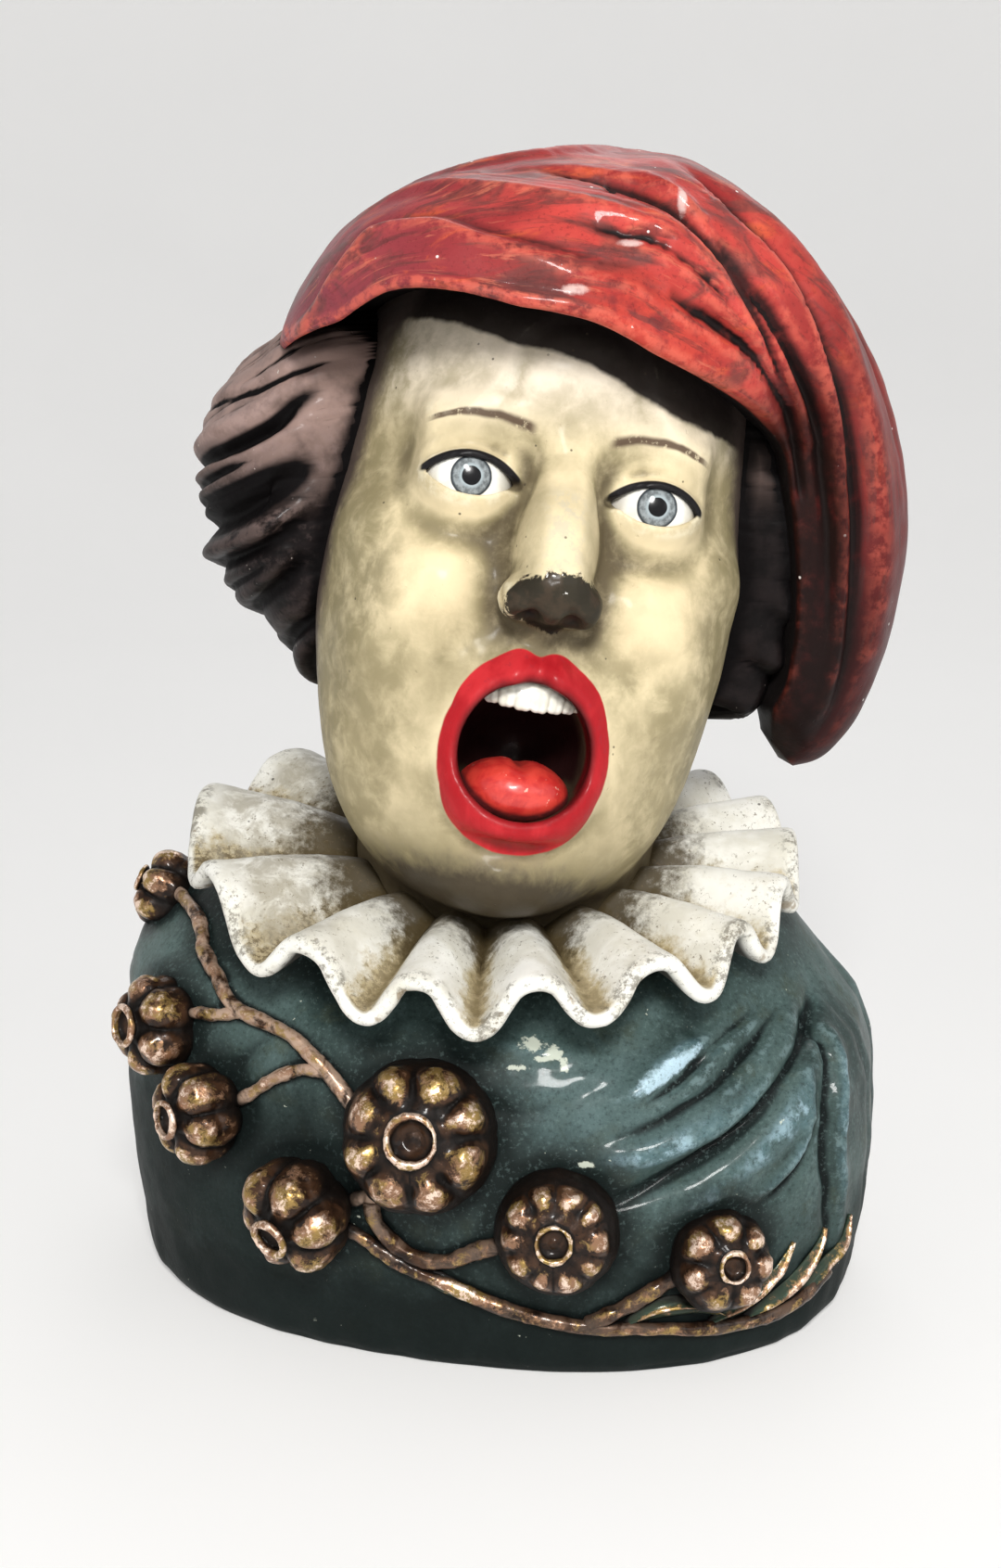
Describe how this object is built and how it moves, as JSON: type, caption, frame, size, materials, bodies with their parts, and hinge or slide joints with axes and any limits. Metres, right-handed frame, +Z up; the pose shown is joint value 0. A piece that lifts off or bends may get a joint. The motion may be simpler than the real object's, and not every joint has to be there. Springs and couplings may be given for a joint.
{
  "type": "apothecary gaper head",
  "caption": "Carved and painted wooden apothecary's gaper bust: open mouth, wound red cap, ruff, draped cloak and a branch of seed pods.",
  "frame": {"origin": "middle of the underside's box, on the surface that the bust stands on", "axes": "+Z up, the face looks along -Y, +X is the side that the cap's tail hangs on"},
  "size_m": [0.2978, 0.2416, 0.4175],
  "materials": {
    "painted_wood": "carved wood, painted in oil colours and varnished, worn and dirty in the hollows",
    "cap_paint": "red oil paint on carved wood, glossy, dark in the folds",
    "flesh_paint": "yellowish flesh paint with grey dirt, satin",
    "lip_paint": "glossy red paint on lips and tongue",
    "tooth_paint": "glossy white paint",
    "hair_paint": "brown black paint, satin",
    "ruff_paint": "white paint with ochre dirt in the pleats",
    "cloak_paint": "blue green paint, glossy",
    "bronze_paint": "bronze paint worn to dark brown in the hollows"
  },
  "bodies": {
    "root": {"gaper_head": "painted_wood"}
  },
  "joints": []
}
